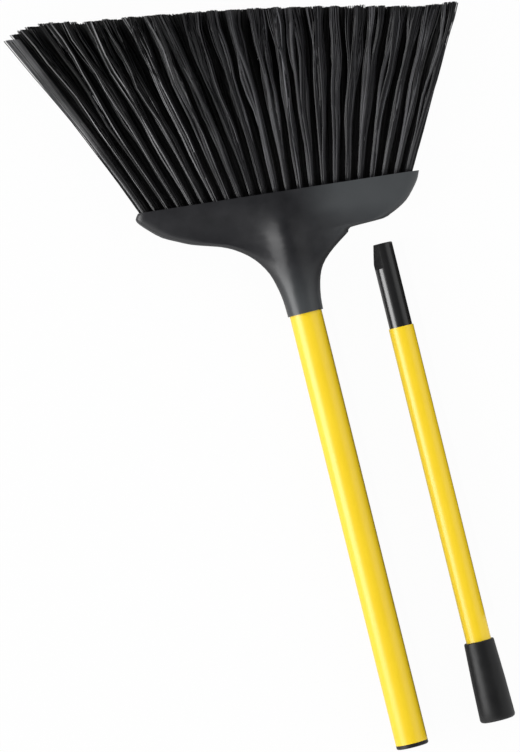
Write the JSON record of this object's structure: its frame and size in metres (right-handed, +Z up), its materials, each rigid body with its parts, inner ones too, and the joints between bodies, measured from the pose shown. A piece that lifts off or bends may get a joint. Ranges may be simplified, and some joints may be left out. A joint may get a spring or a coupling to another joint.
{
  "type": "angle broom",
  "caption": "Angle broom with a winged head and a wide slanted fan of dark bristles, a lower handle tube with a socket, and a loose upper handle section with a plug and a grip.",
  "frame": {"origin": "middle of the mouth of the bushing in the lower tube's open end, on the tube's axis", "axes": "+Y along the lower handle towards the bristle tips, +X to the right, +Z up from the floor that the broom lies on"},
  "size_m": [0.3888, 0.6903, 0.04],
  "materials": {
    "cowl": "black moulded polypropylene, satin, finely grained",
    "board": "black moulded polypropylene, drilled and tufted",
    "bristle": "black extruded plastic filament, slightly glossy, flagged tips",
    "steel": "zinc plated steel",
    "tube": "yellow powder coat on thin metal tube, gloss",
    "fitting": "black moulded plastic",
    "plug": "black moulded plastic, glossy",
    "grip": "black moulded soft vinyl, satin"
  },
  "bodies": {
    "broom": {"head_cowl": "cowl", "tuft_board": "board", "board_screws": "steel", "tuft_anchors": "steel", "bristles_rear": "bristle", "bristles_mid_rear": "bristle", "bristles_mid_front": "bristle", "bristles_front": "bristle", "lower_tube": "tube", "socket_bushing": "fitting", "tube_core": "fitting", "neck_screw": "steel"},
    "upper_handle": {"handle_plug": "plug", "upper_tube": "tube", "grip": "grip"}
  },
  "joints": [
    {"name": "section_slide", "type": "slide", "parent": "broom", "child": "upper_handle", "axis": [-0.1176, -0.993, 0.0063], "range_m": [0, 0.6666]}
  ]
}
